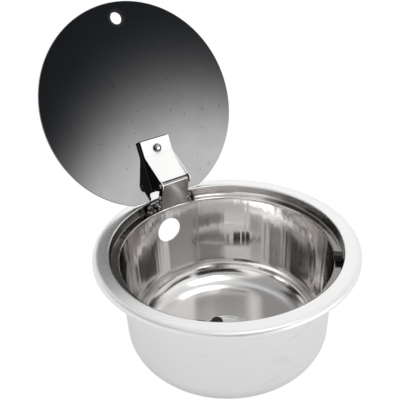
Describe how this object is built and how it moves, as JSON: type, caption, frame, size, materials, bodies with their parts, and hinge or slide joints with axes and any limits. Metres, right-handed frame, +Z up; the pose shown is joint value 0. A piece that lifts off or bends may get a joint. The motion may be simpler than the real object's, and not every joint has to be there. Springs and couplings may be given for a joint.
{
  "type": "round sink with glass lid",
  "caption": "Round pressed-steel sink for a motorhome worktop, with a black glass lid on a folding two-part hinge, rubber plug and bottom waste.",
  "frame": {"origin": "middle of the worktop cut-out, level with the worktop's top face that the rim seal rests on", "axes": "+Z up out of the worktop, +Y to the back where the hinge is, -Y to the lid's finger hole at the user's side"},
  "size_m": [0.39, 0.5027, 0.531],
  "materials": {
    "bowl_steel": "polished inside, satin rim",
    "hinge_steel": "polished",
    "fastener": "bright zinc",
    "glass": "polished black",
    "rubber": "matt",
    "nylon": "natural nylon",
    "plastic": "moulded"
  },
  "bodies": {
    "root": {"bowl": "bowl_steel", "rim_seal": "rubber", "lid_bumper_right": "rubber", "lid_bumper_left": "rubber", "hinge_base": "hinge_steel", "base_backing_plate": "fastener", "base_screw_1": "fastener", "base_nut_1": "fastener", "base_screw_2": "fastener", "base_nut_2": "fastener", "base_screw_3": "fastener", "base_nut_3": "fastener", "base_screw_4": "fastener", "base_nut_4": "fastener", "base_pin": "fastener", "base_pin_clip": "fastener", "waste_flange": "bowl_steel", "waste_seal_upper": "rubber", "waste_seal_lower": "rubber", "waste_cup": "plastic", "waste_screw": "fastener"},
    "link": {"hinge_link": "hinge_steel", "link_cross_pin": "fastener"},
    "lid": {"lid_glass": "glass", "hinge_arm": "hinge_steel", "arm_pin": "fastener", "arm_pin_clip": "fastener", "arm_pad": "rubber", "screw_spacer": "nylon", "glass_bush": "nylon", "arm_washer": "fastener", "lid_screw": "fastener", "glass_washer": "rubber", "dome_nut": "fastener"},
    "plug": {"drain_plug": "rubber"}
  },
  "joints": [
    {"name": "link_fold", "type": "hinge", "parent": "root", "child": "link", "pos_m": [0, 0.151, 0.00435], "axis": [1, 0, 0], "range_deg": [0, 141]},
    {"name": "lid_tilt", "type": "hinge", "parent": "link", "child": "lid", "pos_m": [0, 0.1396, 0.04704], "axis": [1, 0, 0], "range_deg": [-25.6, 0]},
    {"name": "plug_lift", "type": "slide", "parent": "root", "child": "plug", "axis": [0, 0, 1], "range_m": [0, 0.03]}
  ],
  "couplings": [
    {"joint": "lid_tilt", "follows": "link_fold", "ratio": -0.18014}
  ]
}
